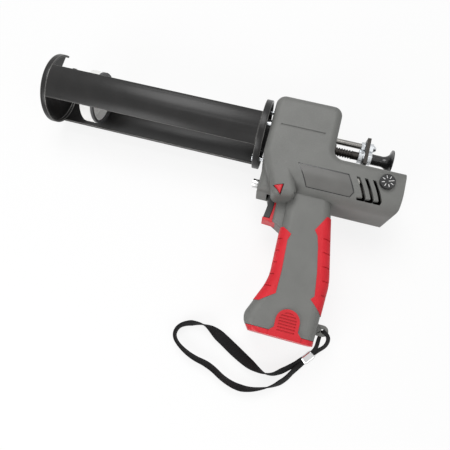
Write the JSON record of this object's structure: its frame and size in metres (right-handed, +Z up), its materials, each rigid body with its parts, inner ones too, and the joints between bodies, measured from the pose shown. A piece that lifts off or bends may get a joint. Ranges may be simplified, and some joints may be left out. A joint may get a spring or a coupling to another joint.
{
  "type": "cordless caulking tool",
  "caption": "Battery caulking tool with an open sheet-steel cartridge cradle, motor-driven toothed push rod, pistol grip, slide-out battery and wrist strap.",
  "frame": {"origin": "on the surface that the tool lies on, under the barrel axis, 40 mm behind the front face of the barrel's rear flange, on the flat right side of the housing", "axes": "+X rearward along the barrel, +Y the tool's own up, from handle to barrel, +Z up from the surface, towards the tool's left side"},
  "size_m": [0.357, 0.274, 0.0727],
  "materials": {
    "black_steel": "satin powder coat",
    "collar_black": "matte",
    "zinc": "zinc plate",
    "steel": "ground",
    "dark_steel": "black oxide",
    "cell_wrap": "shrink wrap",
    "bronze": "sintered",
    "white_plastic": "slightly translucent",
    "dark_grey_plastic": "matte",
    "black_plastic": "semi gloss",
    "grey_housing": "fine texture",
    "red_grip": "soft matte",
    "red_gloss": "semi gloss",
    "chrome": "polished",
    "lens": "clear",
    "black_webbing": "woven"
  },
  "bodies": {
    "tool": {"back_grip_left": "red_grip", "back_grip_right": "red_grip", "barrel_collar": "collar_black", "battery_guide_left": "black_plastic", "battery_guide_right": "black_plastic", "contact_block": "black_plastic", "cradle_strip_left": "black_steel", "cradle_strip_right": "black_steel", "drive_motor": "steel", "flange_studs": "zinc", "front_cap": "black_steel", "front_grip_left": "red_grip", "front_grip_right": "red_grip", "gear_plate_left": "steel", "gear_plate_right": "steel", "housing_left": "grey_housing", "housing_right": "grey_housing", "housing_screws": "zinc", "lamp_bezel": "chrome", "lamp_lens": "lens", "motor_mount": "steel", "rating_plate": "dark_grey_plastic", "rear_flange": "black_steel", "rod_bush_back": "bronze", "rod_bush_front": "bronze", "shaft_bush_left": "bronze", "shaft_bush_right": "bronze", "speed_control": "black_plastic", "strap_ferrule": "steel", "strap_loop": "black_webbing", "strap_lug": "grey_housing", "strap_tail": "black_webbing", "trigger_switch": "black_plastic"},
    "rod": {"toothed_rod": "dark_steel", "guide_rod": "steel", "plunger_cup": "white_plastic", "plunger_ring": "dark_grey_plastic", "plunger_screw": "zinc", "crossbar": "dark_steel", "rod_nut": "zinc", "rod_washer": "zinc", "rod_lock_nut": "zinc", "guide_nut": "zinc", "dome_nut": "zinc", "pull_knob": "black_plastic"},
    "drive_gear": {"drive_pinion": "steel", "worm_wheel": "white_plastic", "cross_shaft": "steel"},
    "motor_rotor": {"worm_shaft": "steel"},
    "trigger_body": {"trigger": "red_gloss", "trigger_pad": "black_plastic"},
    "safety": {"safety_button": "red_gloss"},
    "dial": {"speed_dial": "black_plastic"},
    "battery": {"battery_base": "red_gloss", "battery_case": "black_plastic", "battery_cells": "cell_wrap"}
  },
  "joints": [
    {"name": "rod_slide", "type": "slide", "parent": "tool", "child": "rod", "axis": [1, 0, 0], "range_m": [-0.02, 0.145]},
    {"name": "drive_spin", "type": "hinge", "parent": "tool", "child": "drive_gear", "pos_m": [0.002, -0.00975, 0.0345], "axis": [0, 0, 1], "range_deg": [-1740, 245]},
    {"name": "motor_spin", "type": "hinge", "parent": "tool", "child": "motor_rotor", "pos_m": [0.002, -0.03745, 0.0425], "axis": [1, 0, 0], "continuous": true},
    {"name": "trigger_slide", "type": "slide", "parent": "tool", "child": "trigger_body", "axis": [1, 0, 0], "range_m": [0, 0.006], "stiffness_N_per_m": 800, "springref_m": -0.004},
    {"name": "safety_slide", "type": "slide", "parent": "tool", "child": "safety", "axis": [0, 0, -1], "range_m": [0, 0.003], "stiffness_N_per_m": 400, "springref_m": -0.002},
    {"name": "dial_turn", "type": "hinge", "parent": "tool", "child": "dial", "pos_m": [0.0828, -0.035, 0.069], "axis": [0, 0, 1], "range_deg": [-135, 135]},
    {"name": "battery_slide", "type": "slide", "parent": "tool", "child": "battery", "axis": [0, -1, 0], "range_m": [0, 0.1]}
  ],
  "couplings": [
    {"joint": "drive_spin", "follows": "rod_slide", "rad_per_m": -208.36}
  ]
}
